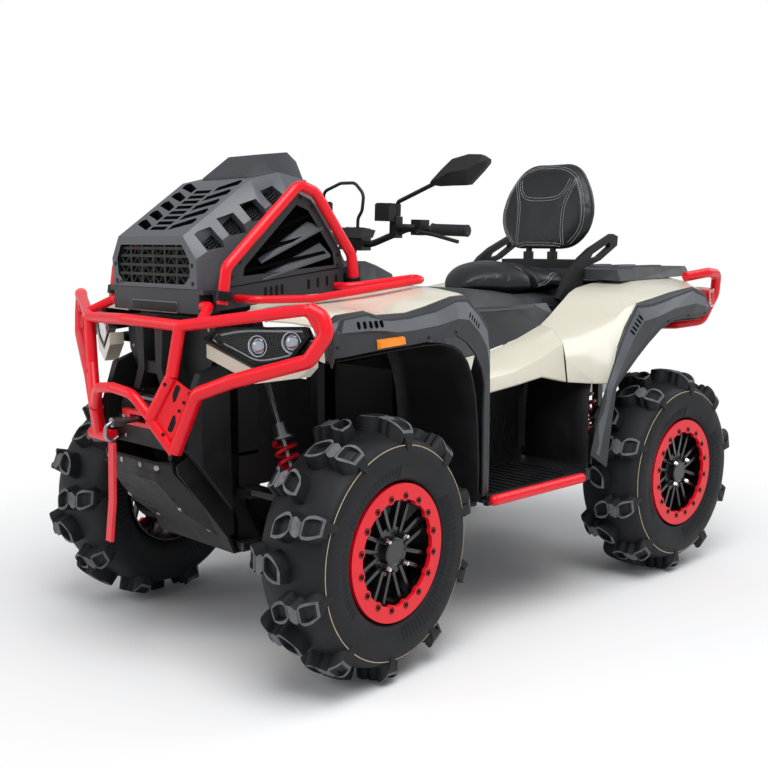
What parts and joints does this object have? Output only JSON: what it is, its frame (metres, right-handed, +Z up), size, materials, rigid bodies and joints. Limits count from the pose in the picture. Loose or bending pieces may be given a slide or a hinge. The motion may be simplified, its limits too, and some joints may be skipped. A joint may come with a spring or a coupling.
{
  "type": "quad bike",
  "caption": "Large mud quad bike with lugged tyres, relocated nose radiator, tubular bumpers, two-up seat with backrest and rear cargo deck.",
  "frame": {"origin": "on the ground under the middle of the machine's length and width", "axes": "+X forward, +Y to the rider's left, +Z up"},
  "size_m": [2.5061, 1.3982, 1.538],
  "materials": {
    "tyre_rubber": "rubber, satin",
    "rim_black": "gloss black paint",
    "cast_steel": "as cast, painted",
    "bare_steel": "turned",
    "frame_black": "powder coat",
    "red_powder": "gloss powder coat",
    "cast_aluminium": "cast",
    "charcoal_plastic": "fine grained",
    "black_plastic": "fine grained",
    "ivory_plastic": "gloss",
    "lamp_housing": "gloss with bright inserts",
    "clear_cover": "clear",
    "red_lens": "clear tinted",
    "amber_lens": "clear tinted",
    "seat_leather": "fine grained",
    "red_webbing": "woven",
    "stainless": "brushed"
  },
  "bodies": {
    "root": {"rear_hub_carriers": "cast_steel", "half_shafts": "bare_steel", "shock_bodies": "bare_steel", "frame_left": "frame_black", "frame_right": "frame_black", "frame_cross_members": "frame_black", "footwell_supports": "frame_black", "receiver": "frame_black", "suspension_arms": "frame_black", "front_bumper": "red_powder", "front_rack": "red_powder", "side_bars": "red_powder", "rear_bumper": "red_powder", "shock_springs": "red_powder", "engine_and_drives": "cast_aluminium", "radiator_core": "cast_aluminium", "skid_plate": "charcoal_plastic", "front_flares": "charcoal_plastic", "rear_flares": "charcoal_plastic", "rear_rack": "charcoal_plastic", "radiator_shroud": "charcoal_plastic", "shroud_covers": "charcoal_plastic", "seat_skirt": "charcoal_plastic", "front_fascia": "black_plastic", "radiator_tray": "black_plastic", "inner_fenders": "black_plastic", "footwells": "black_plastic", "rear_mudguard": "black_plastic", "grab_handles": "black_plastic", "winch": "black_plastic", "front_body": "ivory_plastic", "side_panels": "ivory_plastic", "rear_body": "ivory_plastic", "headlight_housings": "lamp_housing", "headlight_lenses": "clear_cover", "tail_lamps": "red_lens", "marker_lamps": "amber_lens", "seats": "seat_leather", "backrest": "seat_leather", "winch_strap": "red_webbing", "silencer": "stainless"},
    "handlebar": {"handlebar": "frame_black", "controls": "black_plastic", "mirrors": "black_plastic"},
    "knuckle_left": {"knuckle_left": "cast_steel"},
    "knuckle_right": {"knuckle_right": "cast_steel"},
    "tie_rod_left": {"tie_rod_left": "bare_steel"},
    "tie_rod_right": {"tie_rod_right": "bare_steel"},
    "wheel_front_left": {"tyre_front_left": "tyre_rubber", "rim_front_left": "rim_black"},
    "wheel_front_right": {"tyre_front_right": "tyre_rubber", "rim_front_right": "rim_black"},
    "wheel_rear_left": {"tyre_rear_left": "tyre_rubber", "rim_rear_left": "rim_black"},
    "wheel_rear_right": {"tyre_rear_right": "tyre_rubber", "rim_rear_right": "rim_black"}
  },
  "joints": [
    {"name": "handlebar_steer", "type": "hinge", "parent": "root", "child": "handlebar", "pos_m": [0.285, 0, 1.215], "axis": [-0.3746, 0, 0.9272], "range_deg": [-34, 22]},
    {"name": "knuckle_left_steer", "type": "hinge", "parent": "root", "child": "knuckle_left", "pos_m": [0.75, 0.455, 0.375], "axis": [0, 0, 1], "range_deg": [-34, 22]},
    {"name": "tie_rod_left_pivot", "type": "hinge", "parent": "knuckle_left", "child": "tie_rod_left", "pos_m": [0.64217, 0.42858, 0.401], "axis": [0, 0, 1], "range_deg": [-22, 34]},
    {"name": "wheel_front_left_spin", "type": "hinge", "parent": "knuckle_left", "child": "wheel_front_left", "pos_m": [0.74059, 0.54451, 0.375], "axis": [-0.1045, 0.9945, 0], "continuous": true},
    {"name": "wheel_rear_left_spin", "type": "hinge", "parent": "root", "child": "wheel_rear_left", "pos_m": [-0.75, 0.545, 0.375], "axis": [0, 1, 0], "continuous": true},
    {"name": "knuckle_right_steer", "type": "hinge", "parent": "root", "child": "knuckle_right", "pos_m": [0.75, -0.455, 0.375], "axis": [0, 0, 1], "range_deg": [-34, 22]},
    {"name": "tie_rod_right_pivot", "type": "hinge", "parent": "knuckle_right", "child": "tie_rod_right", "pos_m": [0.63903, -0.45158, 0.401], "axis": [0, 0, 1], "range_deg": [-22, 34]},
    {"name": "wheel_front_right_spin", "type": "hinge", "parent": "knuckle_right", "child": "wheel_front_right", "pos_m": [0.75941, -0.54451, 0.375], "axis": [-0.1045, 0.9945, 0], "continuous": true},
    {"name": "wheel_rear_right_spin", "type": "hinge", "parent": "root", "child": "wheel_rear_right", "pos_m": [-0.75, -0.545, 0.375], "axis": [0, 1, 0], "continuous": true}
  ],
  "couplings": [
    {"joint": "knuckle_left_steer", "follows": "handlebar_steer", "ratio": 1},
    {"joint": "tie_rod_left_pivot", "follows": "handlebar_steer", "ratio": -1},
    {"joint": "knuckle_right_steer", "follows": "handlebar_steer", "ratio": 1},
    {"joint": "tie_rod_right_pivot", "follows": "handlebar_steer", "ratio": -1}
  ]
}
